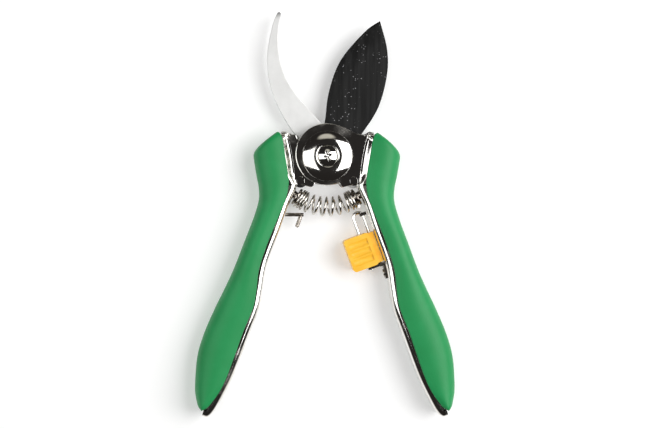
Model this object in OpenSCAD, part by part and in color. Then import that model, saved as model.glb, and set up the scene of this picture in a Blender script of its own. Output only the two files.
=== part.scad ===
// Bypass pruning shears with spread handles, lying on their back.
// X runs to the right, Y towards the blade tips and Z out of the face. The pivot stands on the Z axis, and
// z = 0 is the plane that the shears rest on. The right half is fixed and the left half turns about the pivot.

/* [Motion] */
// Angle that the handles close through, in degrees
close_angle = 40; // [38:0.5:41]
// Travel of the lock tab along its rail
lock_travel = 7.5; // [6:0.5:7.5]

/* [Handles] */
// Thickness of the handles' sheet steel
sheet = 1.5; // [1.3:0.1:1.6]
// Outside height of the handle channels
channel_h = 14; // [13.6:0.2:14.6]
// Outside radius of the channels' bends
bend_r = 2; // [1.6:0.1:2.2]
// Radius of the round head plates
head_r = 15.3; // [15:0.1:15.5]

/* [Grips] */
// Thickness of the grips
grip_h = 18; // [17.6:0.2:18.6]

/* [Blades] */
// Thickness of the cutting blade
blade_t = 2.5; // [2.2:0.1:2.6]
// Thickness of the hook blade
hook_t = 3; // [2.8:0.1:3.2]

/* [Pivot] */
// Outside diameter of the sleeve that everything turns on
sleeve_d = 8; // [7.5:0.1:8.5]
// Diameter of the pivot screw's thread
screw_d = 5; // [4.5:0.1:5.5]
// Diameter of the domed washer
dome_d = 24.4; // [23:0.2:25]

/* [Spring] */
// Distance from the pivot to the spring's centre line
spring_r = 25; // [24.8:0.1:25.3]
// Outside diameter of the spring
spring_od = 10.4; // [9.8:0.1:10.6]
// Thickness of the spring's wire
wire_d = 1.2; // [1:0.1:1.3]

/* [Hidden] */
$fn = 64;

// Clearances
layer_gap = 0.1;
running_fit = 0.06;
slide_fit = 0.15;

// Heights of the layers at the pivot, counted from the middle of the thickness
mid_z = grip_h / 2;
stack_h = 4 * sheet + blade_t + hook_t + 4 * layer_gap;
outer_plate = stack_h / 2;
inner_plate = outer_plate - sheet - layer_gap;
blade_top = inner_plate - sheet;
blade_base = blade_top - blade_t;
hook_top = blade_base - layer_gap;
hook_base = hook_top - hook_t;

// Inner edge of a handle, on the right half, from the curl at its top down to its foot
inner_edge = [
    [23, 12.2], [20.4, 12.3], [18.6, 10], [17.2, 5], [16, -1.5], [15.2, -8.5], [15.2, -15.5], [19.4, -25.6],
    [23.5, -37.5], [29.6, -54.5], [31.6, -66], [33.6, -76.5], [38.2, -89], [45.2, -107.4], [50.4, -118.4],
    [55, -126.6], [58.3, -129.6], [61.3, -128.9]
];
// The points of the inner edge where the flat head plate starts and ends; below it stands the web
head_from = 2;
head_to = 6;
// Outer edge of the flanges, hidden in the grip except at the foot
flange_edge = [
    [25.8, 11.4], [29.6, 4.5], [28.8, -9], [28.4, -22], [33.6, -38], [41, -56], [48.6, -75], [56, -95],
    [60.4, -113], [61.8, -127]
];

// Middle of the round head plates, and their top edges from the disc out to the ridge
head_centre = [-0.5, 0.9];
right_top_edge = [[5.4, 15.1], [9.2, 13.9], [12, 12.4], [15, 11.2], [18, 10.8]];
left_top_edge = [[2, 15.1], [7, 11], [14, 8.2], [15.8, 10.4], [18, 10.7]];
lobe_corner = [6.4, -15.5];

// Grip outline as pairs of inner and outer points, from the slanted top to the heel
grip_inner = [
    [23.9, 12.9], [22.2, 7.5], [21, 0.5], [19.6, -8.5], [19.2, -14.5], [20.6, -21.5], [24.6, -31.5],
    [29.4, -43.5], [33.4, -56], [34.7, -66.5], [36.2, -75], [41, -87], [45.2, -99], [49.6, -110.8],
    [53.4, -118], [59.6, -126.2]
];
grip_outer = [
    [35.2, 4], [36.6, 0.6], [36.2, -3.5], [35, -10.5], [34, -15.5], [33.9, -22], [36.4, -30.8],
    [41.2, -43.5], [46.3, -56.8], [51.2, -67.5], [55.3, -76], [60.3, -87.6], [63.7, -99], [64.8, -111],
    [64.7, -118.5], [62.9, -126.4]
];

// Blade outlines
hook_outer = [
    [-25.2, 71.6], [-27.7, 65.2], [-30.3, 49.5], [-28.4, 34.4], [-22.9, 21.4], [-15, 9.4], [-8, 3]
];
hook_inner = [
    [0, 13], [-6.4, 20.5], [-14.6, 29.2], [-21.1, 39.6], [-24.2, 50.5], [-24.8, 61], [-23.4, 71.2]
];
hook_tip = [-24.3, 72];
blade_spine = [[9, 0], [17, 11], [25.3, 24.4], [29.5, 40], [29.7, 53], [26.1, 68.1]];
blade_edge = [[26.1, 68.1], [19.3, 63.3], [9.3, 52.2], [4, 43], [0.3, 30.3], [-1.1, 18.2], [-3, 9]];
hub_r = 12.5;
tang_w = 7;
bevel_steps = 4;
bevel_w = 7.2;

// Rivets
rivet_pos = [13.2, -12.2];
rivet_d = 3.2;
spacer_d = 4.8;

// Pivot hardware
screw_head_d = 9.6;
screw_head_h = 2.2;
dome_t = 0.9;
dome_h = 2.9;
dome_seat_r = 5.4;
dome_seat_h = 2.1;
back_washer_t = 1;
back_washer_d = 16;
nut_af = 9;
nut_floor = 0.5;

// Spring and its seats
spring_end = 35;
open_turns = 6;
close_turns = 2.5;
close_pitch = 1.35;
spring_steps = 12;
spring_sides = 6;
seat_pos = spring_r * [sin(spring_end), -cos(spring_end)];
seat_flange_t = 1.2;
seat_stud_len = 4;
seat_stud_d = spring_od - 2 * wire_d - 0.8;
seat_shank_d = 4;

// Lock, drawn in its own frame: x across the tab, y up along the handle, from the tab's top left corner
lock_pos = [8, -42.2];
lock_turn = 20.5;
tab_w = 13.2;
tab_len = 16.8;
tab_h = 12;
tab_r = 1.6;
tab_lip_w = 1.8;
tab_lip_h = 8;
groove_count = 3;
rail_d = 1.8;
rail_left = 9;
rail_right = 14;
rail_top = 8.2;
bracket_t = 1.2;
bracket_h = 7;
bracket_rivet_index = 37;
bracket_rivet_d = 2.4;
peg_x = 5.1;
peg_d = 2.1;
peg_tip = 3.9;
peg_len = 6.7;
socket_d = 3.4;
socket_depth = 5;
catch_d = 1.9;

steel = [0.78, 0.77, 0.75];
dark_steel = [0.45, 0.44, 0.42];

// ---- Curves ----

// Point of the smooth curve between b and c, with a before and d after
function spline_point(a, b, c, d, t) =
    0.5 * (2 * b + (c - a) * t + (2 * a - 5 * b + 4 * c - d) * t ^ 2 + (3 * b - a - 3 * c + d) * t ^ 3);

// Smooth curve through the points p, with n steps between two of them
function curve(p, n = 4) = [
    for (i = [0:len(p) - 2], k = [0:n - 1])
        spline_point(p[max(i - 1, 0)], p[i], p[i + 1], p[min(i + 2, len(p) - 1)], k / n),
    p[len(p) - 1]
];

function reversed(p) = [for (i = [len(p) - 1:-1:0]) p[i]];

// Unit direction to the left of the path p at point i
function side_of(p, i) =
    let (t = p[min(i + 1, len(p) - 1)] - p[max(i - 1, 0)]) [-t.y, t.x] / norm(t);

function moved(p, d) = [for (i = [0:len(p) - 1]) p[i] + d * side_of(p, i)];

function rotated(p, a) = [p.x * cos(a) - p.y * sin(a), p.x * sin(a) + p.y * cos(a)];

// Band along the path p, between two distances to its left
module strip(p, from, to) polygon(concat(moved(p, from), reversed(moved(p, to))));

// The inner edge as a path, and its stretches that carry the head plate, the ridge and the web
edge_steps = 4;
inner_path = curve(inner_edge, edge_steps);
plate_range = [head_from * edge_steps, head_to * edge_steps - 1];
ridge_range = [head_from * edge_steps - 1, head_to * edge_steps + 1];
web_range = [head_to * edge_steps, len(inner_path) - 1];

// The points of a stretch of the inner path, moved to its left by the distance d
function beside(range, d) =
    [for (i = [range[0]:range[1]]) inner_path[i] + d * side_of(inner_path, i)];

// Band along a stretch of the inner path, between two distances to its left
module band(range, from, to) polygon(concat(beside(range, from), reversed(beside(range, to))));

// ---- Handles ----

module flange_outline() polygon(concat(inner_path, reversed(curve(flange_edge))));

module head_outline(top_edge) {
    translate(head_centre) circle(head_r, $fn = 96);
    polygon(concat([head_centre], curve(top_edge), beside(plate_range, sheet / 2), [
        [lobe_corner.x + 1.2, lobe_corner.y],
        [lobe_corner.x, lobe_corner.y + 1.2]
    ]));
}

// Steps that round the outer corner of the bend along the inner edge, as cuts from the top face down
module bend_cut() {
    step = bend_r / 4;
    last = len(inner_path) - 1;
    path = concat([inner_path[0] + [4, -0.2]], inner_path, [inner_path[last] + [2, 0.6]]);
    for (i = [0:2]) {
        inset = bend_r - sqrt(bend_r ^ 2 - (bend_r - (i + 0.5) * step) ^ 2);
        translate([0, 0, channel_h / 2 - (i + 1) * step]) linear_extrude(step + 1)
            strip(path, -1, inset);
    }
}

// One face of a handle: flange, ridge and head plate
module handle_face(plate, top_edge) {
    translate([0, 0, channel_h / 2 - sheet]) linear_extrude(sheet) flange_outline();
    translate([0, 0, plate - sheet]) linear_extrude(channel_h / 2 - plate + sheet / 2)
        band(ridge_range, 0, sheet);
    translate([0, 0, plate - sheet]) linear_extrude(sheet) head_outline(top_edge);
}

// A handle of the right half, with its head plates' outer faces at the height plate from the middle
module handle(plate, top_edge, pivot_bore) difference() {
    translate([0, 0, mid_z]) difference() {
        union() {
            handle_face(plate, top_edge);
            mirror([0, 0, 1]) handle_face(plate, top_edge);
            linear_extrude(channel_h, center = true) band(web_range, 0, sheet);
        }
        bend_cut();
        mirror([0, 0, 1]) bend_cut();
    }
    cylinder(d = pivot_bore, h = grip_h);
    translate(rivet_pos) cylinder(d = rivet_d, h = grip_h);
    seat_shank();
}

module right_handle() color(steel) difference() {
    handle(outer_plate, right_top_edge, sleeve_d);
    bracket_rivet_bore();
}

module left_handle() color(steel) difference() {
    mirror([1, 0, 0]) handle(inner_plate, left_top_edge, sleeve_d + 2 * running_fit);
    catch_bar_shape();
}

// ---- Grips ----

// Height of the grip's face over its middle, at u from 0 at the inner edge to 1 at the outer edge
function grip_rise(u) =
    let (crest = 0.35, lip = channel_h / 2 + 1)
    u < crest ? lip + (grip_h / 2 - lip) * sin(90 * u / crest)
              : grip_h / 2 * (1 - ((u - crest) / (1 - crest)) ^ 2.3) ^ (1 / 2.3);

grip_us = concat([0, 0.08, 0.2], [for (k = [0:8]) 0.35 + 0.65 * sin(k * 11.25)]);

// Ring of points round the grip between an inner and an outer point, thinned by the factor s
function grip_ring(a, b, s) = concat(
    [for (u = grip_us) let (p = a + (b - a) * u) [p.x, p.y, mid_z + s * grip_rise(u)]],
    [for (i = [len(grip_us) - 2:-1:0]) let (p = a + (b - a) * grip_us[i]) [p.x, p.y, mid_z - s * grip_rise(grip_us[i])]]
);

// Closed solid through a list of rings of m points each
module loft(rings) {
    m = len(rings[0]);
    n = len(rings);
    points = [for (r = rings, p = r) p];
    sides = [for (j = [0:n - 2], i = [0:m - 1]) let (k = (i + 1) % m)
        [j * m + i, (j + 1) * m + i, (j + 1) * m + k, j * m + k]];
    polyhedron(points, concat(sides, [[for (i = [0:m - 1]) i], [for (i = [m - 1:-1:0]) (n - 1) * m + i]]));
}

module grip() {
    a = curve(grip_inner, 2);
    b = curve(grip_outer, 2);
    n = len(a);
    difference() {
        loft([for (i = [0:n - 1]) grip_ring(a[i], b[i], i == 0 || i == n - 1 ? 0.94 : 1)]);
        translate([0, 0, mid_z]) linear_extrude(channel_h, center = true) flange_outline();
    }
}

module right_grip() color([0.3, 0.67, 0.43]) grip();

module left_grip() color([0.18, 0.57, 0.35]) mirror([1, 0, 0]) grip();

// ---- Blades ----

module tang(side) hull() {
    circle(tang_w / 2);
    translate([side * rivet_pos.x, rivet_pos.y]) circle(tang_w / 2);
}

module blade_bores(side, bore) {
    translate([0, 0, -1]) cylinder(d = bore, h = grip_h);
    translate([side * rivet_pos.x, rivet_pos.y, -1]) cylinder(d = rivet_d, h = grip_h);
}

module hook_blade() color([0.85, 0.85, 0.84]) difference() {
    translate([0, 0, mid_z + hook_base]) linear_extrude(hook_t) {
        polygon(concat(curve(hook_outer), curve(hook_inner), [hook_tip]));
        circle(hub_r);
        tang(1);
    }
    blade_bores(1, sleeve_d);
}

edge_path = curve(blade_edge);

module leaf() polygon(concat(curve(blade_spine), [for (i = [1:len(edge_path) - 1]) edge_path[i]]));

// The blade, ground back in steps from its cutting edge towards the face
module cutting_blade() color([0.12, 0.12, 0.13]) difference() {
    translate([0, 0, mid_z + blade_base]) {
        for (i = [0:bevel_steps - 1])
            translate([0, 0, i * blade_t / bevel_steps]) linear_extrude(blade_t / bevel_steps) difference() {
                leaf();
                strip(concat([edge_path[0] + [6, 4]], edge_path), -2, i * bevel_w / bevel_steps);
            }
        linear_extrude(blade_t) {
            circle(hub_r);
            tang(-1);
        }
    }
    blade_bores(-1, sleeve_d + 2 * running_fit);
}

// ---- Rivets and spacers ----

module rivet(side, plate) translate([side * rivet_pos.x, rivet_pos.y, mid_z - plate]) cylinder(d = rivet_d, h = 2 * plate);

module spacer(side, from, to) translate([side * rivet_pos.x, rivet_pos.y, mid_z + from]) difference() {
    cylinder(d = spacer_d, h = to - from);
    translate([0, 0, -1]) cylinder(d = rivet_d, h = to - from + 2);
}

module hook_rivet() color(steel) rivet(1, outer_plate);

module blade_rivet() color(steel) rivet(-1, inner_plate);

module hook_spacers() color(dark_steel) {
    spacer(1, hook_top, outer_plate - sheet);
    spacer(1, sheet - outer_plate, hook_base);
}

module blade_spacer() color(dark_steel) spacer(-1, sheet - inner_plate, blade_base);

// ---- Pivot ----

module pivot_sleeve() color(dark_steel) translate([0, 0, mid_z - outer_plate]) difference() {
    cylinder(d = sleeve_d, h = 2 * outer_plate + dome_seat_h - dome_t);
    translate([0, 0, -1]) cylinder(d = screw_d + 2 * running_fit, h = grip_h);
}

module pivot_screw() color(steel) {
    head_z = mid_z + outer_plate + dome_seat_h;
    translate([0, 0, nut_floor]) cylinder(d = screw_d, h = head_z - nut_floor);
    translate([0, 0, head_z]) difference() {
        intersection() {
            cylinder(d = screw_head_d, h = screw_head_h);
            translate([0, 0, screw_head_h - 8]) sphere(8);
        }
        for (a = [0, 90]) rotate(a + 20) translate([-2.6, -0.55, 0.7]) cube([5.2, 1.1, screw_head_h]);
    }
}

module dome_washer() color(steel) translate([0, 0, mid_z + outer_plate]) rotate_extrude($fn = 96) {
    r = dome_d / 2;
    hole = screw_d / 2 + 0.1;
    polygon(concat(
        [[hole, dome_seat_h - dome_t], [dome_seat_r, dome_seat_h - dome_t], [dome_seat_r + 0.8, dome_h - dome_t]],
        [for (k = [1:5]) [dome_seat_r + 0.8 + (r - dome_seat_r - 1.9) * sin(k * 18), (dome_h - dome_t) * cos(k * 18)]],
        [[r, 0], [r, 0.5]],
        [for (k = [5:-1:0]) [dome_seat_r + 0.8 + (r - dome_seat_r - 0.9) * sin(k * 18), 0.7 + (dome_h - 0.7) * cos(k * 18)]],
        [[dome_seat_r, dome_seat_h], [hole, dome_seat_h]]
    ));
}

module back_washer() color(steel) translate([0, 0, mid_z - outer_plate - back_washer_t]) difference() {
    cylinder(d = back_washer_d, h = back_washer_t);
    translate([0, 0, -1]) cylinder(d = screw_d, h = back_washer_t + 2);
}

module pivot_nut() color(steel) difference() {
    cylinder(d = nut_af / cos(30), h = mid_z - outer_plate - back_washer_t, $fn = 6);
    translate([0, 0, nut_floor]) cylinder(d = screw_d, h = grip_h);
}

// ---- Spring and seats ----

// Places children at the right end of the spring, with +Z pointing into the spring
module at_seat() translate([seat_pos.x, seat_pos.y, mid_z]) rotate([0, -90, spring_end]) children();

module seat_shank() at_seat() translate([0, 0, -8]) cylinder(d = seat_shank_d, h = 8);

module spring_seat() {
    at_seat() {
        translate([0, 0, -seat_flange_t]) cylinder(d = spring_od - 1.4, h = seat_flange_t);
        cylinder(d = seat_stud_d, h = seat_stud_len);
    }
    intersection() {
        seat_shank();
        linear_extrude(grip_h) polygon([[0, 0], [26, 0], [26, -40], [0, -40]]);
    }
}

module right_spring_seat() color(dark_steel) spring_seat();

module left_spring_seat() color(dark_steel) mirror([1, 0, 0]) spring_seat();

// Angle along the spring's arc after t turns: close turns at both ends, open turns between them
function spring_angle(t) =
    let (
        first = spring_end - (wire_d / 2 + 0.1) / spring_r * 180 / PI,
        close = close_pitch / spring_r * 180 / PI,
        open = 2 * (first - close * close_turns) / open_turns
    )
    -first + close * min(t, close_turns) + open * max(0, min(t - close_turns, open_turns))
    + close * max(0, t - close_turns - open_turns);

coil_r = (spring_od - wire_d) / 2;

// Point of the wire's centre line after t turns
function wire_point(t) =
    let (a = spring_angle(t), r = spring_r + coil_r * cos(360 * t))
    [r * sin(a), -r * cos(a), mid_z + coil_r * sin(360 * t)];

// Ring of points round the wire after t turns
function wire_ring(t) =
    let (
        a = spring_angle(t),
        out = [sin(a), -cos(a), 0] * cos(360 * t) + [0, 0, sin(360 * t)],
        ahead = wire_point(t + 0.01) - wire_point(t - 0.01),
        across = cross(ahead / norm(ahead), out)
    )
    [for (i = [0:spring_sides - 1]) let (q = 360 * i / spring_sides)
        wire_point(t) + wire_d / 2 * (cos(q) * out + sin(q) * across)];

module return_spring() color(dark_steel)
    loft([for (k = [0:(open_turns + 2 * close_turns) * spring_steps]) wire_ring(k / spring_steps)]);

// ---- Lock ----

// Places children in the lock's frame, at the middle of the thickness
module at_lock() translate([lock_pos.x, lock_pos.y, mid_z]) rotate(lock_turn) children();

module along_lock(x, y, d, len) translate([x, y, 0]) rotate([-90, 0, 0]) cylinder(d = d, h = len);

module lock_rail() color(steel) at_lock() {
    base = -tab_len - bracket_t - 0.6;
    span = (rail_right - rail_left) / 2;
    along_lock(rail_left, base, rail_d, rail_top - base);
    along_lock(rail_right, base, rail_d, rail_top - base);
    translate([rail_left + span, rail_top, 0])
        rotate_extrude(angle = 180) translate([span, 0]) circle(d = rail_d, $fn = 32);
}

module rounded_block(w, l, h, r) linear_extrude(h, center = true) {
    translate([r, 0]) square([w - 2 * r, l]);
    translate([0, r]) square([w, l - 2 * r]);
    for (x = [r, w - r], y = [r, l - r]) translate([x, y]) circle(r);
}

module lock_tab() color([0.98, 0.7, 0.2]) at_lock() difference() {
    union() {
        translate([0, -tab_len, 0]) rounded_block(tab_w, tab_len, tab_h, tab_r);
        translate([tab_w - 3, -tab_len + 0.6, -tab_lip_h / 2]) cube([3 + tab_lip_w, tab_len - 1.2, tab_lip_h]);
    }
    for (x = [rail_left, rail_right]) along_lock(x, -tab_len - 1, rail_d + 2 * slide_fit, tab_len + 2);
    along_lock(peg_x, -socket_depth, socket_d, socket_depth + 1);
    for (k = [1:groove_count]) translate([1.6, -tab_len * k / (groove_count + 1), tab_h / 2 + 2.2])
        rotate([0, 90, 0]) cylinder(r = 2.8, h = tab_w - 3.2);
}

// Places children where the bracket is riveted to the web, with +Z pointing out through the web
module at_bracket_rivet() {
    out = side_of(inner_path, bracket_rivet_index);
    spot = inner_path[bracket_rivet_index];
    translate([spot.x, spot.y, mid_z]) rotate([0, 90, atan2(out.y, out.x)]) children();
}

module bracket_rivet_bore() at_bracket_rivet() cylinder(d = bracket_rivet_d, h = 8, center = true);

// A plate across the rail's two ends, and a leg that lies flat on the web
module rail_bracket() color(dark_steel) difference() {
    union() {
        difference() {
            at_lock() translate([rail_left - 1.6, -tab_len - bracket_t - 0.1, -bracket_h / 2])
                cube([rail_right - rail_left + 4, bracket_t, bracket_h]);
            linear_extrude(grip_h) band(web_range, 0, 2 * sheet);
        }
        intersection() {
            at_lock() translate([rail_right - 4, -tab_len - bracket_t - 7, -bracket_h / 2])
                cube([8, 7.5, bracket_h]);
            linear_extrude(grip_h) band(web_range, -bracket_t, 0);
        }
    }
    lock_rail();
    bracket_rivet();
}

module bracket_rivet() color(steel) at_bracket_rivet() {
    translate([0, 0, -bracket_t]) cylinder(d = bracket_rivet_d, h = bracket_t + sheet);
    translate([0, 0, -bracket_t - 0.8]) cylinder(d = 4, h = 0.8);
}

module rail_clip() color(dark_steel) difference() {
    at_lock() translate([rail_right - 1.5, rail_top + 0.2, -2.5]) cube([3.4, 1.6, 5]);
    lock_rail();
}

// ---- Catch ----

// Places children as at_lock does, turned back with the left half to the open position
module at_catch() rotate(-close_angle) at_lock() translate([peg_x, peg_tip, 0]) children();

catch_end = rotated([peg_x, peg_tip + peg_len], lock_turn);
catch_point = rotated(lock_pos + catch_end, -close_angle);

module catch_bar_shape() translate([-22.4, catch_point.y, mid_z]) rotate([0, 90, 0])
    cylinder(d = catch_d, h = catch_point.x + 22.4 + 1.2);

module catch_bar() color(dark_steel) catch_bar_shape();

module catch_peg() color(dark_steel) difference() {
    at_catch() {
        along_lock(0, 0.4, peg_d - 0.4, peg_len - 0.4);
        for (k = [0:4]) along_lock(0, 0.6 + k * 0.9, peg_d, 0.45);
        along_lock(0, 0, peg_d - 0.8, 0.5);
    }
    catch_bar_shape();
}

right_handle();
right_grip();
hook_blade();
hook_rivet();
hook_spacers();
pivot_sleeve();
pivot_screw();
dome_washer();
back_washer();
pivot_nut();
right_spring_seat();
lock_rail();
rail_bracket();
bracket_rivet();
rail_clip();
lock_tab();
left_handle();
left_grip();
cutting_blade();
blade_rivet();
blade_spacer();
left_spring_seat();
catch_bar();
catch_peg();
return_spring();
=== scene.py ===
"""Looks of the bypass pruning shears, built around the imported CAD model."""
import math

import bmesh
import bpy
from mathutils import Matrix, Vector


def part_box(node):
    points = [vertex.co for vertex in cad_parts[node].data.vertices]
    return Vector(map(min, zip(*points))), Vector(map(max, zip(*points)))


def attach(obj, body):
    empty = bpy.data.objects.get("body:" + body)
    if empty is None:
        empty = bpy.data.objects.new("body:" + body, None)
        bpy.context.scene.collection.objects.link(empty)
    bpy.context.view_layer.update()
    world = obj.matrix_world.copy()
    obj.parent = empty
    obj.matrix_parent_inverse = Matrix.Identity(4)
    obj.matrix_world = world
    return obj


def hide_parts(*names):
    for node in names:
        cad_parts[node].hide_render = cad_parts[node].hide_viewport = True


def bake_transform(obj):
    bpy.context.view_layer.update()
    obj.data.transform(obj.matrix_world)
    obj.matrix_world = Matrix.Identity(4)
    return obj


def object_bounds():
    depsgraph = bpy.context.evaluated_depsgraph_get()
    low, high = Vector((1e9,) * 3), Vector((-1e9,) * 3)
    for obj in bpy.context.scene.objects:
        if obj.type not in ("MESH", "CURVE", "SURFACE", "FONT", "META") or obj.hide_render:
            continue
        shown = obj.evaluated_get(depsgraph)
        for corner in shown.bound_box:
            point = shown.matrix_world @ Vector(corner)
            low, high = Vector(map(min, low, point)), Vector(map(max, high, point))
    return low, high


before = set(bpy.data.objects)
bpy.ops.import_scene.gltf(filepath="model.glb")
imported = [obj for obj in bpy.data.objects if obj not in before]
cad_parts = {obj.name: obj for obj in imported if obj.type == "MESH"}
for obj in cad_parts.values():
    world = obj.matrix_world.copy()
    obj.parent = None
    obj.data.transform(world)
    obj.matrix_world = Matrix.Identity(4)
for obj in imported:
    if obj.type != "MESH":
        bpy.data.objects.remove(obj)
cad_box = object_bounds()
MM = 0.001

# ---------------------------------------------------------------- camera

PIXEL = 0.0005             # metres on the object for one picture element
PICTURE_W = 645
AIM = Vector((-0.002, -0.029, 0.009))
CAMERA_OFFSET = Vector((-0.03, 0.0, 0.62))
CAMERA_ROLL = math.radians(0.4)
SENSOR = 36.0

camera_data = bpy.data.cameras.new("camera")
camera_data.sensor_width = SENSOR
camera_data.lens = SENSOR * CAMERA_OFFSET.length / (PIXEL * PICTURE_W)
camera_data.clip_start = 0.01
camera = bpy.data.objects.new("camera", camera_data)
bpy.context.scene.collection.objects.link(camera)
camera.location = AIM + CAMERA_OFFSET
back = CAMERA_OFFSET.normalized()
right = Vector((0, 1, 0)).cross(back).normalized()
up = back.cross(right)
turned = Matrix.Rotation(CAMERA_ROLL, 3, back)
camera.rotation_euler = Matrix((turned @ right, turned @ up, back)).transposed().to_euler()
bpy.context.scene.camera = camera

# ---------------------------------------------------------------- levels and sizes, in millimetres


def levels(node):
    """Lowest and highest corner of a CAD node, in millimetres."""
    low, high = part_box(node)
    return low / MM, high / MM


# The middle of the thickness, and heights counted from it
MID_Z = sum(c.z for c in levels("right_grip")) / 2
GRIP_HALF = (levels("right_grip")[1].z - levels("right_grip")[0].z) / 2
FLANGE_Z = levels("right_handle")[1].z - MID_Z
OUTER_PLATE = levels("hook_rivet")[1].z - MID_Z
INNER_PLATE = levels("blade_rivet")[1].z - MID_Z
# Thickness of the handles' sheet, and the outside radius of the channel's bend, which is larger than
# in the CAD
SHEET = 1.5
BEND_R = 2.7

# Inner edge of the right handle, from the curl at its top down to its foot
INNER_EDGE = [
    (23, 12.2), (20.4, 12.3), (18.6, 10), (17.2, 5), (16, -1.5), (15.2, -8.5), (15.2, -15.5), (19.4, -25.6),
    (23.5, -37.5), (29.6, -54.5), (31.6, -66), (33.6, -76.5), (38.2, -89), (45.2, -107.4), (50.4, -118.4),
    (55, -126.6), (58.3, -129.6), (61.3, -128.9),
]
# The points of that edge where the flat head plate starts and ends
HEAD_FROM, HEAD_TO = 2, 6

# Outline of the right grip as pairs of inner and outer points, from the slanted top to the heel
GRIP_INNER = [
    (23.9, 12.9), (22.2, 7.5), (21, 0.5), (19.6, -8.5), (19.2, -14.5), (20.6, -21.5), (24.6, -31.5),
    (29.4, -43.5), (33.4, -56), (34.7, -66.5), (36.2, -75), (41, -87), (45.2, -99), (49.6, -110.8),
    (53.4, -118), (59.6, -126.2),
]
GRIP_OUTER = [
    (35.2, 4), (36.6, 0.6), (36.2, -3.5), (35, -10.5), (34, -15.5), (33.9, -22), (36.4, -30.8),
    (41.2, -43.5), (46.3, -56.8), (51.2, -67.5), (55.3, -76), (60.3, -87.6), (63.7, -99), (64.8, -111),
    (64.7, -118.5), (62.9, -126.4),
]

# Outline of the cutting blade, from the tip to the root
BLADE_EDGE = [(26.1, 68.1), (19.3, 63.3), (9.3, 52.2), (4, 43), (0.3, 30.3), (-1.1, 18.2), (-3, 9)]
BLADE_SPINE = [(26.1, 68.1), (29.7, 53), (29.5, 40), (25.3, 24.4), (17, 11), (9, 0)]

# ---------------------------------------------------------------- curves


def curve_at(points, t):
    """Point of the smooth curve through the points, at t counted in points from the first."""
    i = min(int(t), len(points) - 2)
    a, b, c, d = (Vector(points[max(0, min(len(points) - 1, i + k))]) for k in (-1, 0, 1, 2))
    t -= i
    squares, cubes = 2 * a - 5 * b + 4 * c - d, 3 * b - a - 3 * c + d
    return 0.5 * (2 * b + (c - a) * t + squares * t ** 2 + cubes * t ** 3)


def curve(points, steps):
    """The smooth curve through the points, with that many steps between two of them."""
    return [curve_at(points, i / steps) for i in range((len(points) - 1) * steps + 1)]


def sides_of(path):
    """Unit directions to the left of a path, one for each of its points."""
    last = len(path) - 1
    ahead = [(path[min(i + 1, last)] - path[max(i - 1, 0)]).normalized() for i in range(last + 1)]
    return [Vector((-t.y, t.x)) for t in ahead]


def angles_round(steps):
    """Angles of that many equal steps round a full turn."""
    return [2 * math.pi * k / steps for k in range(steps)]


def smoothstep(t):
    """0 below 0, 1 above 1 and a smooth rise between them."""
    t = min(1.0, max(0.0, t))
    return t * t * (3 - 2 * t)


# ---------------------------------------------------------------- mesh helpers


# A face counts as level, and is shaded flat, when its normal's Z is above this
LEVEL = 0.9999
# Points closer than this, in metres, are one point
SAME_POINT = 1e-7


class Shape:
    """Vertices in millimetres and faces that make up one piece."""

    def __init__(self):
        self.verts, self.faces = [], []

    def add(self, verts, faces):
        """Vertices, and faces that count from the first of them."""
        start = len(self.verts)
        self.verts += [Vector(v) for v in verts]
        self.faces += [[start + i for i in f] for f in faces]

    def add_rings(self, rings, closed=False):
        """A skin through rings of equally many points, with flat ends unless it is closed."""
        n, m = len(rings), len(rings[0])
        faces = []
        for j in range(n if closed else n - 1):
            k = (j + 1) % n
            for i in range(m):
                beside = (i + 1) % m
                faces.append([j * m + i, k * m + i, k * m + beside, j * m + beside])
        if not closed:
            faces += [list(range(m))[::-1], [(n - 1) * m + i for i in range(m)]]
        self.add([p for r in rings for p in r], faces)

    def add_mesh(self, mesh):
        """The faces of a Blender mesh in metres."""
        self.add([v.co / MM for v in mesh.vertices], [list(p.vertices) for p in mesh.polygons])

    def mirrored(self):
        """The same piece on the other side of the plane X = 0."""
        other = Shape()
        other.add([Vector((-v.x, v.y, v.z)) for v in self.verts], [f[::-1] for f in self.faces])
        return other

    def piece(self, name, body, nodes, slot, material, sharp=35):
        """The finished object, smooth but for level faces and edges sharper than the angle sharp."""
        mesh = bpy.data.meshes.new(name)
        mesh.from_pydata([v * MM for v in self.verts], [], self.faces)
        bm = bmesh.new()
        bm.from_mesh(mesh)
        bmesh.ops.remove_doubles(bm, verts=bm.verts, dist=SAME_POINT)
        bmesh.ops.recalc_face_normals(bm, faces=bm.faces)
        bm.to_mesh(mesh)
        bm.free()
        mesh.set_sharp_from_angle(angle=math.radians(sharp))
        flat = [abs(p.normal.z) > LEVEL for p in mesh.polygons]
        mesh.polygons.foreach_set("use_smooth", [not f for f in flat])
        mesh.materials.append(material)
        obj = bpy.data.objects.new(name, mesh)
        bpy.context.scene.collection.objects.link(obj)
        if body:
            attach(obj, body)
        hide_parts(*nodes)
        return obj


def section(node, z):
    """Closed outlines in which the plane at the height z above the middle cuts a CAD node."""
    bm = bmesh.new()
    bm.from_mesh(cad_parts[node].data)
    bmesh.ops.remove_doubles(bm, verts=bm.verts, dist=1e-6)
    everything = bm.verts[:] + bm.edges[:] + bm.faces[:]
    bmesh.ops.bisect_plane(bm, geom=everything, dist=1e-7, plane_co=(0, 0, (MID_Z + z) * MM),
                           plane_no=(0, 0, 1), clear_inner=True, clear_outer=True)
    bmesh.ops.remove_doubles(bm, verts=bm.verts, dist=2e-5)
    loops = []
    left = set(bm.edges)
    while left:
        edge = left.pop()
        first, at = edge.verts
        loop = [first.co.xy / MM]
        while at is not first:
            loop.append(at.co.xy / MM)
            following = [e for e in at.link_edges if e in left]
            if not following:
                break
            left.remove(following[0])
            at = following[0].other_vert(at)
        if at is first and len(loop) > 2:
            loops.append(loop)
    bm.free()
    return loops


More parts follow.
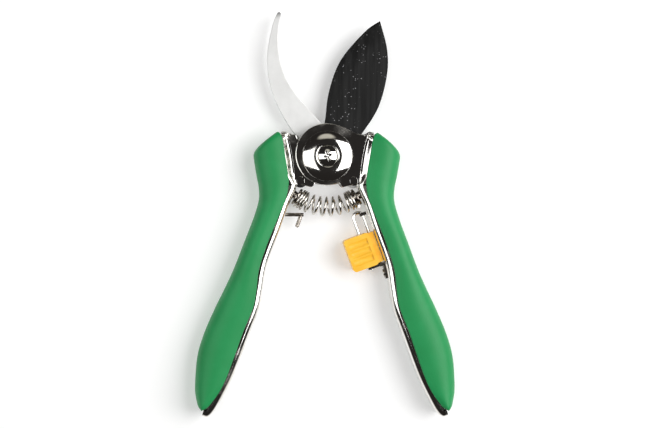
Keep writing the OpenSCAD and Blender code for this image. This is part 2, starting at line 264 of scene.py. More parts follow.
def clipped(loop, y, keep_above=True):
    """The part of an outline on the upper or lower side of the line Y = y."""
    sign = 1 if keep_above else -1
    out = []
    for a, b in zip(loop, loop[1:] + loop[:1]):
        inside_a, inside_b = sign * (a.y - y) >= 0, sign * (b.y - y) >= 0
        if inside_a:
            out.append(a)
        if inside_a != inside_b:
            out.append(a.lerp(b, (y - a.y) / (b.y - a.y)))
    return out


def slab(shape, loops, low, high, rim):
    """Adds a plate with rounded rims between two heights, with holes where loops nest."""
    low, high = sorted((low, high))
    data = bpy.data.curves.new("outline", "CURVE")
    data.dimensions = "2D"
    data.fill_mode = "BOTH"
    data.extrude = ((high - low) / 2 - rim) * MM
    data.bevel_depth = rim * MM
    data.bevel_resolution = 2
    data.offset = -rim * MM
    for loop in loops:
        if len(loop) < 3:
            continue
        spline = data.splines.new("POLY")
        spline.points.add(len(loop) - 1)
        for point, p in zip(spline.points, loop):
            point.co = (p.x * MM, p.y * MM, 0, 1)
        spline.use_cyclic_u = True
    holder = bpy.data.objects.new("outline", data)
    mesh = bpy.data.meshes.new_from_object(holder)
    mesh.transform(Matrix.Translation((0, 0, (MID_Z + (low + high) / 2) * MM)))
    shape.add_mesh(mesh)
    bpy.data.objects.remove(holder)
    bpy.data.curves.remove(data)
    bpy.data.meshes.remove(mesh)


def lathe(shape, profile, steps):
    """Adds a ring turned about the pivot's axis from a closed profile of radii and heights."""
    rings = [[Vector((r * math.cos(a), r * math.sin(a), z)) for r, z in profile]
             for a in angles_round(steps)]
    shape.add_rings(rings, closed=True)


def tube(shape, path, radius, sides):
    """Adds a round rod with flat ends along a list of points."""
    rings = []
    side = None
    last = len(path) - 1
    for i, p in enumerate(path):
        ahead = (path[min(i + 1, last)] - path[max(i - 1, 0)]).normalized()
        if side is None:
            side = ahead.orthogonal().normalized()
        side = (side - ahead * side.dot(ahead)).normalized()
        across = ahead.cross(side)
        rings.append([p + radius * (math.cos(a) * side + math.sin(a) * across)
                      for a in angles_round(sides)])
    shape.add_rings(rings)


def softened(node, name, body, slot, material, width, segments=3, sharp=30):
    """A copy of a CAD node with its edges rounded by the width, in place of the node."""
    bm = bmesh.new()
    bm.from_mesh(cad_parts[node].data)
    bmesh.ops.remove_doubles(bm, verts=bm.verts, dist=2e-6)
    bmesh.ops.dissolve_limit(bm, angle_limit=math.radians(1), verts=bm.verts, edges=bm.edges)
    mesh = bpy.data.meshes.new(name)
    bm.to_mesh(mesh)
    bm.free()
    holder = bpy.data.objects.new(name + "_raw", mesh)
    bpy.context.scene.collection.objects.link(holder)
    rounding = holder.modifiers.new("rounding", "BEVEL")
    rounding.width = width * MM
    rounding.segments = segments
    rounding.limit_method = "ANGLE"
    rounding.angle_limit = math.radians(sharp)
    evaluated = holder.evaluated_get(bpy.context.evaluated_depsgraph_get())
    made = bpy.data.meshes.new_from_object(evaluated)
    shape = Shape()
    shape.add_mesh(made)
    bpy.data.objects.remove(holder)
    return shape.piece(name, body, [node], slot, material, sharp)

# ---------------------------------------------------------------- materials


# Depth of a fine surface pattern, in metres, and the roughness of every noise
FINE = 0.0001
NOISE_ROUGH = 0.55


class Nodes:
    """The node tree of a material or world, with a short way to add and join nodes."""

    def __init__(self, owner):
        owner.use_nodes = True
        self.tree = owner.node_tree

    def add(self, kind, inputs=None, **settings):
        node = self.tree.nodes.new(kind)
        for key, value in settings.items():
            setattr(node, key, value)
        for key, value in (inputs or {}).items():
            if isinstance(value, bpy.types.NodeSocket):
                self.tree.links.new(value, node.inputs[key])
            else:
                node.inputs[key].default_value = value
        return node


class Finish(Nodes):
    """A new material, with short ways to build patterns for its shader."""

    def __init__(self, name):
        self.material = bpy.data.materials.new(name)
        super().__init__(self.material)
        self.shader = self.tree.nodes["Principled BSDF"]
        self.place = self.add("ShaderNodeTexCoord").outputs["Object"]

    def stretched(self, scale, turn=0.0):
        """The piece's own coordinates, scaled and turned about Z."""
        inputs = {"Vector": self.place, "Scale": scale, "Rotation": (0, 0, turn)}
        return self.add("ShaderNodeMapping", inputs).outputs["Vector"]

    def noise(self, scale, detail=4.0, where=None):
        """Cloudy values round a half; where is the piece's own coordinates unless it is given."""
        place = where or self.place
        inputs = {"Vector": place, "Scale": scale, "Detail": detail, "Roughness": NOISE_ROUGH}
        return self.add("ShaderNodeTexNoise", inputs).outputs["Fac"]

    def between(self, value, low, high, to_low=0.0, to_high=1.0):
        """The value mapped smoothly from one range to another."""
        inputs = {"Value": value, "From Min": low, "From Max": high,
                  "To Min": to_low, "To Max": to_high}
        return self.add("ShaderNodeMapRange", inputs, interpolation_type="SMOOTHSTEP").outputs["Result"]

    def maths(self, operation, a, b):
        """The result of one arithmetic step."""
        return self.add("ShaderNodeMath", {0: a, 1: b}, operation=operation).outputs[0]

    def mix(self, factor, a, b):
        """A colour between a and b."""
        node = self.add("ShaderNodeMix", data_type="RGBA")
        for socket, value in ((0, factor), (6, a), (7, b)):
            if isinstance(value, bpy.types.NodeSocket):
                self.tree.links.new(value, node.inputs[socket])
            else:
                node.inputs[socket].default_value = value if socket == 0 else (*value, 1)
        return node.outputs[2]

    def bump(self, height, strength, distance=FINE, normal=None):
        """A normal tilted by the slopes of a height, on top of another normal if one is given."""
        inputs = {"Height": height, "Strength": strength, "Distance": distance}
        if normal:
            inputs["Normal"] = normal
        return self.add("ShaderNodeBump", inputs).outputs["Normal"]

    def finish(self, **sockets):
        """Sets the shader's sockets, by their names with _ for a space."""
        for key, value in sockets.items():
            socket = self.shader.inputs[key.replace("_", " ")]
            if isinstance(value, bpy.types.NodeSocket):
                self.tree.links.new(value, socket)
            elif key == "Base_Color":
                socket.default_value = (*value, 1)
            else:
                socket.default_value = value
        return self.material


def nickel():
    """Bright plating: faint smudges in its gloss and slow waves in the pressed sheet."""
    n = Finish("nickel_plate")
    smudge = n.between(n.noise(90, 5), 0.42, 0.72)
    waves = n.noise(60, 1.5)
    pits = n.noise(1400, 3)
    return n.finish(
        Base_Color=n.mix(smudge, (0.83, 0.82, 0.79), (0.74, 0.71, 0.66)), Metallic=1.0,
        Roughness=n.between(smudge, 0, 1, 0.08, 0.2),
        Normal=n.bump(pits, 0.08, normal=n.bump(waves, 0.3, 3 * FINE)))


def ground_steel():
    """Satin steel with fine grinding marks across the hook, and a dark end at its tip."""
    n = Finish("ground_steel")
    marks = n.noise(900, 3, n.stretched((1, 0.04, 1), 0.5))
    cloud = n.noise(70, 3)
    height = n.add("ShaderNodeSeparateXYZ", {"Vector": n.place}).outputs["Y"]
    tip = n.between(n.maths("ADD", height, n.maths("MULTIPLY", cloud, 0.001)), 0.0685, 0.0735)
    shade = n.mix(n.between(cloud, 0.35, 0.7), (0.8, 0.8, 0.79), (0.73, 0.73, 0.72))
    return n.finish(
        Base_Color=n.mix(tip, shade, (0.09, 0.09, 0.09)), Metallic=0.35,
        Roughness=n.between(marks, 0.3, 0.7, 0.4, 0.52), Normal=n.bump(marks, 0.12))


def blade_coating():
    """Black coating over ground steel: streaks along the grind, pale specks and short scratches."""
    n = Finish("black_coating")
    streaks = n.noise(500, 3, n.stretched((1, 0.05, 1), -0.35))
    cells = n.add("ShaderNodeTexVoronoi", {"Vector": n.place, "Scale": 1000.0, "Randomness": 1.0})
    patches = n.between(n.noise(75, 2), 0.42, 0.56)
    drawn = n.add("ShaderNodeSeparateColor", {"Color": cells.outputs["Color"]}).outputs
    size = n.maths("MULTIPLY", drawn["Green"], 0.26)
    dots = n.maths("LESS_THAN", cells.outputs["Distance"], size)
    dots = n.maths("MULTIPLY", dots, n.maths("GREATER_THAN", drawn["Red"], 0.5))
    scratch = n.between(n.noise(260, 2, n.stretched((1, 0.1, 1), 0.7)), 0.7, 0.76)
    worn = n.maths("MAXIMUM", n.maths("MULTIPLY", dots, patches), n.maths("MULTIPLY", scratch, 0.35))
    base = n.mix(n.between(streaks, 0.35, 0.7), (0.011, 0.011, 0.011), (0.02, 0.02, 0.02))
    return n.finish(
        Base_Color=n.mix(worn, base, (0.3, 0.3, 0.31)), Specular_IOR_Level=0.1,
        Roughness=n.between(streaks, 0.3, 0.7, 0.36, 0.48), Normal=n.bump(streaks, 0.15))


def dark_steel():
    """Dull plated steel of the sleeve, seats and small parts. Its darkness is painted reflection: darker
    than the nickel, it stands in for the dark overhead that these parts mirror; the stains across it are
    random tone.
    """
    n = Finish("steel_painted_dark")
    stain = n.between(n.noise(300, 4), 0.4, 0.7)
    return n.finish(
        # Both base colours are darkened as painted dark reflection; the stain noise between them is random
        # tone.
        Base_Color=n.mix(stain, (0.4, 0.37, 0.33), (0.17, 0.145, 0.12)), Metallic=1.0,
        Roughness=n.between(stain, 0, 1, 0.12, 0.24), Normal=n.bump(n.noise(1500), 0.1))


def spring_wire():
    """Drawn wire with faint marks along it."""
    n = Finish("spring_wire")
    stain = n.between(n.noise(500, 3), 0.45, 0.7)
    return n.finish(
        Base_Color=n.mix(stain, (0.72, 0.7, 0.66), (0.42, 0.38, 0.33)), Metallic=1.0,
        Roughness=n.between(stain, 0, 1, 0.08, 0.16), Normal=n.bump(n.noise(1800), 0.06))


def grip_pvc():
    """Matte soft plastic skin with a fine grain and slight mottling."""
    n = Finish("grip_pvc")
    mottle = n.between(n.noise(45, 4), 0.35, 0.68)
    grain = n.noise(2600, 2)
    fine = n.add("ShaderNodeTexVoronoi", {"Vector": n.place, "Scale": 1500.0}).outputs["Distance"]
    skin = n.bump(fine, 0.12, normal=n.bump(grain, 0.18))
    return n.finish(
        Base_Color=n.mix(mottle, (0.006, 0.25, 0.066), (0.01, 0.28, 0.08)),
        Roughness=n.between(grain, 0.3, 0.7, 0.44, 0.54), Normal=skin, Specular_IOR_Level=0.36)


def lock_plastic():
    """Smooth moulded plastic with faint flow lines."""
    n = Finish("lock_plastic")
    flow = n.between(n.noise(160, 3, n.stretched((0.3, 1, 1), 0.36)), 0.35, 0.7)
    return n.finish(
        Base_Color=n.mix(flow, (0.95, 0.5, 0.035), (0.98, 0.58, 0.055)),
        Roughness=n.between(flow, 0, 1, 0.28, 0.38), Normal=n.bump(n.noise(1200, 3), 0.06),
        Subsurface_Weight=0.08, Subsurface_Radius=(0.002, 0.001, 0.0004))


def floor_paper():
    """Pale seamless paper."""
    n = Finish("floor_paper")
    fibre = n.noise(900, 3)
    return n.finish(
        Base_Color=n.mix(n.between(fibre, 0.3, 0.7), (0.77, 0.77, 0.77), (0.74, 0.74, 0.74)),
        Roughness=0.85, Normal=n.bump(fibre, 0.05),
        Emission_Color=(1, 1, 1, 1), Emission_Strength=0.32)


NICKEL, GROUND, COATING, PAINTED_DARK_STEEL = nickel(), ground_steel(), blade_coating(), dark_steel()
WIRE, PVC, PLASTIC = spring_wire(), grip_pvc(), lock_plastic()

# ---------------------------------------------------------------- handles

right_half, left_half, lock_slide = "right_half", "left_half", "lock_slide"

# Steps between two points of the inner edge, and the rounding of the head plates' rims
EDGE_STEPS = 6
RIM = 0.28
# How far the flanges reach from the inner edge, under the grip and at the heel, and the points of that
# edge between which the reach shrinks
UNDER_GRIP, HEEL_REACH = 7.5, 4.1
HEEL_FROM, HEEL_TO = 11.5, 15
# Distances from the inner edge at which a flange starts and ends its step down to the head plate
STEP_FROM, STEP_TO = 4.9, 2.1
# How far the step runs past the inner edge below the head plate, and how deep it lies there
STEP_LAP, STEP_SINK = 1.6, 0.05
# Length of the straight end of a plain bend, and the narrowest flat of a flange
BEND_END, FLAT_LEAST = 0.6, 0.3
# The corner plate at the top of a flange: grip points it runs to, their place between the grip's edges,
# how far it lies below the flange, and its rim
CORNER_AT, CORNER_SHARE = (1.5, 1, 0.5, 0.1), 0.25
CORNER_BELOW, CORNER_RIM = 0.06, 0.02
# The head plates are cut off below this Y, where the web takes over
HEAD_BOTTOM = -15.4


def edge_ring(p, left, profile):
    """A section of distances to the left and heights above the middle, set at a point of a path."""
    return [Vector((p.x + left.x * u, p.y + left.y * u, MID_Z + z)) for u, z in profile]


def arc(cx, cz, r, start, end, steps):
    """Points of an arc in a section, with angles in degrees from the left direction towards up."""
    angles = [math.radians(start + (end - start) * k / steps) for k in range(steps + 1)]
    return [(cx + r * math.cos(a), cz + r * math.sin(a)) for a in angles]


def channel_profile(reach):
    """Section of the U-shaped channel: the web at the inner edge and flanges under the grip."""
    low = FLANGE_Z - BEND_R
    top_outer = [(reach, FLANGE_Z)] + arc(BEND_R, low, BEND_R, 90, 180, 10)
    top_inner = arc(BEND_R, low, BEND_R - SHEET, 180, 90, 8) + [(reach, FLANGE_Z - SHEET)]
    down = [(u, -z) for u, z in reversed(top_outer)]
    back_up = [(u, -z) for u, z in reversed(top_inner)]
    return top_outer + down + back_up + top_inner


def cheek_profile(plate, curl, reach):
    """Section of the flange beside a head plate: a step down to it, or with curl 1 a plain bend."""
    steps = 16
    drop = FLANGE_Z - plate
    step = [(reach, FLANGE_Z)]
    for k in range(steps + 1):
        t = k / steps
        step.append((STEP_FROM + (STEP_TO - STEP_FROM) * t, FLANGE_Z - drop * smoothstep(t)))
    step.append((-STEP_LAP, plate - STEP_SINK))
    low = FLANGE_Z - BEND_R
    bend = [(reach, FLANGE_Z)] + arc(BEND_R, low, BEND_R, 90, 180, steps) + [(0, low - BEND_END)]
    inner = [(reach, FLANGE_Z - SHEET)] + arc(BEND_R, low, BEND_R - SHEET, 90, 180, steps)
    inner.append((SHEET, low - BEND_END))
    outer = [(u + (v - u) * curl, z + (w - z) * curl) for (u, z), (v, w) in zip(step, bend)]
    under = [(u + (v - u) * curl, z - SHEET + (w - z + SHEET) * curl)
             for (u, z), (v, w) in zip(step, inner)]
    return outer + under[::-1]


def handle(side, node, plate):
    """The pressed sheet of one handle: web, flanges, cheeks and the two round head plates."""
    shape = Shape()
    path = curve(INNER_EDGE, EDGE_STEPS)
    lefts = sides_of(path)
    start, end = HEAD_FROM * EDGE_STEPS, HEAD_TO * EDGE_STEPS
    rings = []
    for i in range(end - 1, len(path)):
        narrow = smoothstep((i / EDGE_STEPS - HEEL_FROM) / (HEEL_TO - HEEL_FROM))
        reach = UNDER_GRIP + (HEEL_REACH - UNDER_GRIP) * narrow
        rings.append(edge_ring(path[i], lefts[i], channel_profile(reach)))
    shape.add_rings(rings)
    corner = []
    for face in (1, -1):
        rings = []
        for i in range(end + 1):
            curl = 1 - smoothstep((i - start + 3) / 4) * smoothstep((end + 1 - i) / 8)
            flat_from = STEP_FROM + (BEND_R - STEP_FROM) * curl
            reach = flat_from + FLAT_LEAST + (UNDER_GRIP - flat_from) * smoothstep((i - start) / 5)
            section_points = [(u, z * face) for u, z in cheek_profile(plate, curl, reach)]
            rings.append(edge_ring(path[i], lefts[i], section_points))
            if face > 0 and start / 3 <= i <= start + 6:
                corner.append(path[i] + lefts[i] * flat_from)
        shape.add_rings(rings)
    corner += [curve_at(GRIP_INNER, t).lerp(curve_at(GRIP_OUTER, t), CORNER_SHARE) for t in CORNER_AT]
    made = shape if side > 0 else shape.mirrored()
    corner = [Vector((p.x * side, p.y)) for p in corner]
    for face in (-1, 1):
        slab(made, [corner], face * (FLANGE_Z - SHEET), face * (FLANGE_Z - CORNER_BELOW), CORNER_RIM)
    for face in (1, -1):
        head = [clipped(p, HEAD_BOTTOM) for p in section(node, face * (plate - SHEET / 2))]
        slab(made, head, face * plate, face * (plate - SHEET), RIM)
    return made


handle(1, "right_handle", OUTER_PLATE).piece(
    "right_handle_sheet", right_half, ["right_handle"], "nickel", NICKEL)
handle(-1, "left_handle", INNER_PLATE).piece(
    "left_handle_sheet", left_half, ["left_handle"], "nickel", NICKEL)

# ---------------------------------------------------------------- grips

# Height and radius of the lip that stands over the flange, and how far it goes down inside
LIP_Z = FLANGE_Z + 0.95
LIP_R = 0.55
LIP_SINK = 0.6
LIP_ANGLES = (0, 0.4, 0.8, 1.2, math.pi / 2)
# The highest line of the face as a share of the width, and how square the fall beyond it is
CREST, FALL = 0.42, 2.25
# Radius of the rounded ends, steps in it, how much of its inset narrows the end, and the most of the
# width that this takes
END_ROUND = 3.2
ROUND_STEPS = 7
NARROWING, NARROWEST = 0.8, 0.46
GRIP_STEPS = 7


def grip_profile(width, thin):
    """Half section of a grip, from the lip to the outer edge: distances and heights."""
    points = [(0.0, FLANGE_Z - LIP_SINK)]
    points += [(LIP_R * (1 - math.cos(a)), LIP_Z - LIP_R + LIP_R * math.sin(a)) for a in LIP_ANGLES]
    rise_steps, fall_steps = 6, 16
    for k in range(1, rise_steps + 1):
        f = k / rise_steps
        height = LIP_Z + (GRIP_HALF - LIP_Z) * math.sin(math.pi / 2 * f)
        points.append((LIP_R + (CREST * width - LIP_R) * f, height))
    for k in range(1, fall_steps + 1):
        f = math.sin(math.pi / 2 * k / fall_steps)
        points.append(((CREST + (1 - CREST) * f) * width, GRIP_HALF * (1 - f ** FALL) ** (1 / FALL)))
    return [(u, max(0.0, z - thin * smoothstep(z / 2))) for u, z in points]


def grip():
    """The skin of the right grip, rounded over at its slanted top and at its heel."""
    shape = Shape()
    last = len(GRIP_INNER) - 1

    def length(t0, t1):
        """Length of the grip between two of its points, as the mean of its edges."""
        a = (curve_at(GRIP_INNER, t0) - curve_at(GRIP_INNER, t1)).length
        b = (curve_at(GRIP_OUTER, t0) - curve_at(GRIP_OUTER, t1)).length
        return (a + b) / 2

    top_unit, heel_unit = length(0, 0.5) * 2, length(last, last - 0.3) / 0.3
    # Distances from an end and insets of the rounding there
    rounding = [(END_ROUND * (1 - math.cos(a)), END_ROUND * (1 - math.sin(a)))
                for a in (math.pi / 2 * k / ROUND_STEPS for k in range(ROUND_STEPS))]
    first_t, last_t = END_ROUND / top_unit, last - END_ROUND / heel_unit
    count = last * GRIP_STEPS
    places = [(s / top_unit, inset) for s, inset in rounding]
    places += [(first_t + (last_t - first_t) * k / count, 0.0) for k in range(count + 1)]
    places += [(last - s / heel_unit, inset) for s, inset in reversed(rounding)]
    rings = []
    for t, inset in places:
        t = min(max(t, 0.0), last - 1e-6)
        a, b = curve_at(GRIP_INNER, t), curve_at(GRIP_OUTER, t)
        across = (b - a).normalized()
        width = (b - a).length
        squeeze = min(inset * NARROWING, NARROWEST * width)
        a, width = a + across * squeeze, width - 2 * squeeze
        half = grip_profile(width, inset)
        top = [Vector((a.x + across.x * u, a.y + across.y * u, MID_Z + z)) for u, z in half]
        bottom = [Vector((p.x, p.y, 2 * MID_Z - p.z)) for p in reversed(top[:-1])]
        rings.append(top + bottom)
    shape.add_rings(rings)
    return shape


grip().piece("right_grip_skin", right_half, ["right_grip"], "grip_pvc", PVC, 60)
grip().mirrored().piece("left_grip_skin", left_half, ["left_grip"], "grip_pvc", PVC, 60)

# ---------------------------------------------------------------- blades


# The cutting blade's grind: its width, its sharp edge's thickness, the chamfer at the spine and the
# power of its curve
BEVEL, EDGE_T, CHAMFER, GRIND_POWER = 9.0, 0.15, 0.3, 1.7
# Distances from the edge that get a point, rows along the blade, and how they gather at the tip
ACROSS = (0, 0.3, 0.8, 1.5, 2.5, 3.7, 5, 6.3, 7.5, 8.5, 9, 9.4)
ROWS, GATHER = 110, 1.15
# The grind narrows where the blade is narrower than the bevel and this margin together
MARGIN = 3.5
# The hub is cut off above this Y, where the leaf takes over
HUB_TOP = 9.5


def hook_blade():
    """The hook, cut from its CAD outline with rounded rims."""
    shape = Shape()
    low, high = levels("hook_blade")
    loops = section("hook_blade", (low.z + high.z) / 2 - MID_Z)
    slab(shape, loops, low.z - MID_Z, high.z - MID_Z, 0.3)
    return shape


def cutting_blade():
    """The leaf, ground from the face down to its cutting edge, and the hub with its tang."""
    shape = Shape()
    low, high = levels("cutting_blade")
    base, thick = low.z, high.z - low.z
    rings = []
    for j in range(ROWS + 1):
        t = (j / ROWS) ** GATHER
        e = curve_at(BLADE_EDGE, t * (len(BLADE_EDGE) - 1) * 0.9999)
        s = curve_at(BLADE_SPINE, t * (len(BLADE_SPINE) - 1) * 0.9999)
        gap = s - e
        width = max(gap.length, 0.05)
        ahead = gap / width if gap.length > 1e-6 else Vector((1, 0))
        squeezed = min(1.0, width / (BEVEL + MARGIN))
        top = []
        for d in ACROSS:
            rise = (d / BEVEL) if d < BEVEL else 1.0
            share = (1 - (1 - rise) ** GRIND_POWER) * min(1.0, 0.25 + 0.75 * squeezed)
            h = EDGE_T + (thick - EDGE_T) * share
            top.append((d * squeezed, h))
        tallest = top[-1][1]
        top += [(max(width - CHAMFER, top[-1][0] + 0.01), tallest), (width, tallest - CHAMFER * 0.8)]
        bottom = [(width, min(0.2, tallest / 2)), (max(width - 0.2, 0.01), 0), (0.0, 0)]
        rings.append([Vector((e.x + ahead.x * u, e.y + ahead.y * u, base + z))
                      for u, z in top + bottom])
    shape.add_rings(rings)
    hub = [clipped(p, HUB_TOP, False) for p in section("cutting_blade", high.z - MID_Z - 0.2)]
    slab(shape, hub, base - MID_Z, base + thick - MID_Z, 0.15)
    return shape


hook_blade().piece("hook_blade_ground", right_half, ["hook_blade"], "hook_steel", GROUND)
cutting_blade().piece(
    "cutting_blade_ground", left_half, ["cutting_blade"], "blade_coating", COATING, 30)

# ---------------------------------------------------------------- pivot and other hardware

# The domed washer: sheet, radii of its hole and seat, how deep the seat lies, and the skirt's start
# and fall
DOME_T, DOME_HOLE_R, SEAT_R, SEAT_DEEP = 0.9, 2.62, 4.9, 0.8
SKIRT_FROM, SAG = 5.75, 1.75
# The screw: its head's radius, height and ball radius, its shank's radius, and its recess's turn in
# degrees
HEAD_R, HEAD_H, BALL_R, SHANK_R, SCREW_TURN = 4.8, 2.2, 8.0, 2.5, 20
# The cross recess: half width and half length of an arm, their soft edges, and its depth
ARM_HALF, ARM_EDGE, ARM_LONG, ARM_END, RECESS = 0.66, 0.22, 2.6, 0.6, 1.35
# The rivets' heads reach over their holes and stand proud of the plates by this much
RIVET_OVER, RIVET_PROUD = 0.4, 0.04

def dome():
    """Pressed washer: a seat for the screw head, a small ridge round it and a domed skirt."""
    shape = Shape()
    low, high = levels("dome_washer")
    base, rim_r = low.z, high.x
    peak = high.z - base
    seat = peak - SEAT_DEEP
    outer = [(DOME_HOLE_R, seat), (SEAT_R, seat), (5.08, peak - 0.7), (5.2, peak - 0.3),
             (5.4, peak - 0.08)]
    span = rim_r - SKIRT_FROM
    arc_r = (span ** 2 + SAG ** 2) / (2 * SAG)
    for k in range(19):
        f = span * k / 18
        outer.append((SKIRT_FROM + f, peak - arc_r + math.sqrt(arc_r ** 2 - f ** 2)))
    rim = [(rim_r + 0.15, peak - SAG - 0.12), (rim_r + 0.2, peak - SAG - 0.3), (rim_r + 0.2, 0.15),
           (rim_r + 0.05, 0.0), (rim_r - 0.75, 0.0)]
    inner = [(r - 0.25, max(0.05, z - DOME_T)) for r, z in reversed(outer[4:-1])]
    inner += [(SEAT_R, seat - DOME_T), (DOME_HOLE_R, seat - DOME_T)]
    lathe(shape, [(r, base + z) for r, z in outer + rim + inner], steps=128)
    return shape


def screw():
    """A plain shank, and a domed head with a rounded cross recess."""
    shape = Shape()
    low, high = levels("pivot_screw")
    base = high.z - HEAD_H
    turn = math.radians(SCREW_TURN)
    radii = [0.02] + [0.1 * k for k in range(1, 32)] + [3.4, 3.8, 4.2, 4.5, 4.7, 4.78]
    angles = angles_round(96)
    rings = []
    for r in radii:
        ring = []
        ball = HEAD_H - BALL_R + math.sqrt(BALL_R ** 2 - r ** 2)
        for a in angles:
            x, y = abs(r * math.cos(a - turn)), abs(r * math.sin(a - turn))
            arms = [smoothstep((ARM_HALF - v) / ARM_EDGE) * smoothstep((ARM_LONG - u) / ARM_END)
                    for u, v in ((x, y), (y, x))]
            z = ball - RECESS * max(arms) * (1 - 0.14 * r)
            ring.append(Vector((r * math.cos(a), r * math.sin(a), base + z)))
        rings.append(ring)
    for r, z in ((HEAD_R, 0.5), (HEAD_R, 0.12), (HEAD_R - 0.12, 0.0)):
        rings.append([Vector((r * math.cos(a), r * math.sin(a), base + z)) for a in angles])
    shape.add_rings(rings)
    tube(shape, [Vector((0, 0, low.z)), Vector((0, 0, base + 0.3))], SHANK_R, 64)
    return shape


def rivet(node):
    """A shank through the stack, with a nearly flush head at either end over the rim of its hole."""
    shape = Shape()
    low, high = levels(node)
    x, y, r = (low.x + high.x) / 2, (low.y + high.y) / 2, (high.x - low.x) / 2
    tube(shape, [Vector((x, y, low.z + 0.1)), Vector((x, y, high.z - 0.1))], r, 32)
    over = r + RIVET_OVER
    head = [(0.0, 0.5), (over, 0.5), (over, -RIVET_PROUD / 2), (over - 0.05, -RIVET_PROUD)]
    m, sides = len(head), 48
    for z, sign in ((high.z, -1), (low.z, 1)):
        points = [Vector((x + q * math.cos(a), y + q * math.sin(a), z + sign * h))
                  for a in angles_round(sides) for q, h in head]
        faces = []
        for k in range(sides):
            a, b = m * k, m * ((k + 1) % sides)
            faces += [[a + i, b + i, b + i + 1, a + i + 1] for i in range(m - 1)]
            faces.append([a + m - 1, b + m - 1, m * sides])
        shape.add(points + [Vector((x, y, z - sign * RIVET_PROUD))], faces)
    return shape


dome().piece("dome_washer_pressed", right_half, ["dome_washer"], "nickel", NICKEL)
screw().piece("pivot_screw_turned", right_half, ["pivot_screw"], "nickel", NICKEL)
rivet("hook_rivet").piece("hook_rivet_set", right_half, ["hook_rivet"], "nickel", NICKEL)
rivet("blade_rivet").piece("blade_rivet_set", left_half, ["blade_rivet"], "nickel", NICKEL)
# The CAD nodes that only get their edges rounded, with the width of the rounding
# Parts on the darker steel carry its painted dark reflection.
for node, body, slot, material, width in (
    ("back_washer", right_half, "nickel", NICKEL, 0.2),
    ("pivot_nut", right_half, "nickel", NICKEL, 0.3),
    ("pivot_sleeve", right_half, "dark_steel", PAINTED_DARK_STEEL, 0.1),
    ("hook_spacers", right_half, "dark_steel", PAINTED_DARK_STEEL, 0.1),
    ("right_spring_seat", right_half, "dark_steel", PAINTED_DARK_STEEL, 0.2),
    ("rail_bracket", right_half, "dark_steel", PAINTED_DARK_STEEL, 0.18),
    ("bracket_rivet", right_half, "nickel", NICKEL, 0.25),
    ("rail_clip", right_half, "dark_steel", PAINTED_DARK_STEEL, 0.15),
    ("lock_rail", right_half, "nickel", NICKEL, 0.12),
    ("blade_spacer", left_half, "dark_steel", PAINTED_DARK_STEEL, 0.1),
    ("left_spring_seat", left_half, "dark_steel", PAINTED_DARK_STEEL, 0.2),
    ("catch_bar", left_half, "dark_steel", PAINTED_DARK_STEEL, 0.2),
    ("catch_peg", left_half, "dark_steel", PAINTED_DARK_STEEL, 0.12),
):
    softened(node, node + "_finished", body, slot, material, width)

# The lock tab: the direction of its side with the lip, the depth of that side's skin, and how far it
# is drawn out
TAB_SIDE, TAB_LIP, TAB_GROWTH = Vector((0.93667, 0.35021)), 0.9, 0.8
tab = softened("lock_tab", "lock_tab_moulded", lock_slide, "lock_plastic", PLASTIC, 0.45, 4)
furthest = max(v.co.xy.dot(TAB_SIDE) for v in tab.data.vertices)
for v in tab.data.vertices:
    if v.co.xy.dot(TAB_SIDE) > furthest - TAB_LIP * MM:
        v.co.xy = v.co.xy + TAB_SIDE * TAB_GROWTH * MM

# ---------------------------------------------------------------- spring

# Radius of the arc that the spring lies on, and the angle of its ends from straight down, in degrees
SPRING_R, SPRING_END = 25.0, 35.0
COIL_R, WIRE_R = 4.6, 0.6
# Turns in the open middle, close-wound turns at each end, and the pitch of those
OPEN_TURNS, CLOSE_TURNS, CLOSE_PITCH = 6, 2.5, 1.35
SEAT_GAP = 0.1
TURN_STEPS, WIRE_SIDES = 32, 12


def spring_angle(t):
    """Angle along the spring's arc after t turns, in degrees from straight down."""
    first = SPRING_END - math.degrees((WIRE_R + SEAT_GAP) / SPRING_R)
    close = math.degrees(CLOSE_PITCH / SPRING_R)
    opened = 2 * (first - close * CLOSE_TURNS) / OPEN_TURNS
    middle = min(max(t - CLOSE_TURNS, 0), OPEN_TURNS)
    return -first + close * (t - middle) + opened * middle


def wire_point(t):
    """Point of the wire's centre line after t turns."""
    a = math.radians(spring_angle(t))
    turn = 2 * math.pi * t
    r = SPRING_R + COIL_R * math.cos(turn)
    return Vector((r * math.sin(a), -r * math.cos(a), MID_Z + COIL_R * math.sin(turn)))


def spring():
    """The wire. Its turns run into each other as the handles close."""
    shape = Shape()
    count = int((OPEN_TURNS + 2 * CLOSE_TURNS) * TURN_STEPS)
    tube(shape, [wire_point(k / TURN_STEPS) for k in range(count + 1)], WIRE_R, WIRE_SIDES)
    return shape


spring_piece = spring().piece("return_spring_wire", None, ["return_spring"], "spring_wire", WIRE, 60)
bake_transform(spring_piece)

# ---------------------------------------------------------------- floor, light and backdrop

FLOOR_R, FLOOR_SIDES, FLOOR_BELOW = 3.0, 48, 0.0001
floor_mesh = bpy.data.meshes.new("floor")
floor_points = [(FLOOR_R * math.cos(a), FLOOR_R * math.sin(a), 0) for a in angles_round(FLOOR_SIDES)]
floor_mesh.from_pydata(floor_points, [], [list(range(FLOOR_SIDES))])
floor_mesh.materials.append(floor_paper())
floor = bpy.data.objects.new("floor", floor_mesh)
floor.location.z = cad_box[0][2] - FLOOR_BELOW
bpy.context.scene.collection.objects.link(floor)


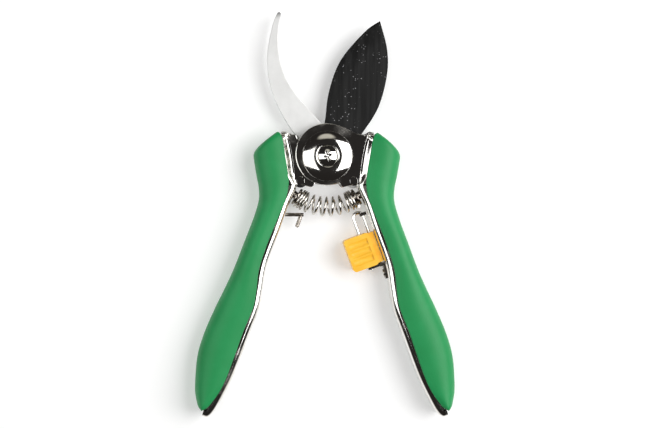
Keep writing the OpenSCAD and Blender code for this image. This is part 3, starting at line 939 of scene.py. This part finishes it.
def softbox(name, place, width, height, radiance):
    """A soft light that faces the pivot's height, its brightness given as what a mirror would show."""
    data = bpy.data.lights.new(name, "AREA")
    data.shape = "RECTANGLE"
    data.size, data.size_y = width, height
    data.energy = radiance * math.pi * width * height
    light = bpy.data.objects.new(name, data)
    light.location = place
    facing = Vector((place[0], 0, place[2] - AIM.z))
    light.rotation_euler = facing.to_track_quat("Z", "Y").to_euler()
    light.visible_camera = False
    bpy.context.scene.collection.objects.link(light)


softbox("softbox_right", (0.527, 0.07, 0.604), 0.76, 0.73, 4.7)
softbox("softbox_left", (-0.48, -0.055, 0.64), 0.46, 0.85, 2.3)

# The world: grey near the horizon, dark above, and a soft pale patch, as a direction, how sharply it
# ends along each axis, and its colour
HORIZON, ZENITH = (0.1, (0.5, 0.485, 0.46)), (0.22, (0.02, 0.018, 0.017))
WINDOW_AT, WINDOW_SHARE, WINDOW_COLOUR = (0, 0.643, 0.766), (3.2, 4.2, 4.2), (0.55, 0.53, 0.46)


def ramp(nodes, value, *stops):
    """A colour that runs through two stops of a position and a colour."""
    node = nodes.add("ShaderNodeValToRGB", {0: value})
    for element, (position, colour) in zip(node.color_ramp.elements, stops):
        element.position = position
        element.color = (*colour, 1)
    return node.outputs[0]


def studio():
    """The world that the nickel reflects."""
    world = bpy.data.worlds.new("studio")
    bpy.context.scene.world = world
    n = Nodes(world)
    where = n.add("ShaderNodeTexCoord").outputs["Generated"]
    height = n.add("ShaderNodeSeparateXYZ", {0: where}).outputs["Z"]
    away = n.add("ShaderNodeVectorMath", {0: where, 1: WINDOW_AT}, operation="SUBTRACT").outputs[0]
    spread = n.add("ShaderNodeVectorMath", {0: away, 1: WINDOW_SHARE}, operation="MULTIPLY").outputs[0]
    far = n.add("ShaderNodeVectorMath", {0: spread}, operation="LENGTH").outputs["Value"]
    sky = ramp(n, height, HORIZON, ZENITH)
    window = ramp(n, far, (0.6, WINDOW_COLOUR), (1.0, (0, 0, 0)))
    both = n.add("ShaderNodeMix", {0: 1, 6: sky, 7: window}, data_type="RGBA", blend_type="ADD")
    n.tree.links.new(both.outputs[2], n.tree.nodes["Background"].inputs[0])


studio()
bpy.context.scene.view_settings.view_transform = "Standard"
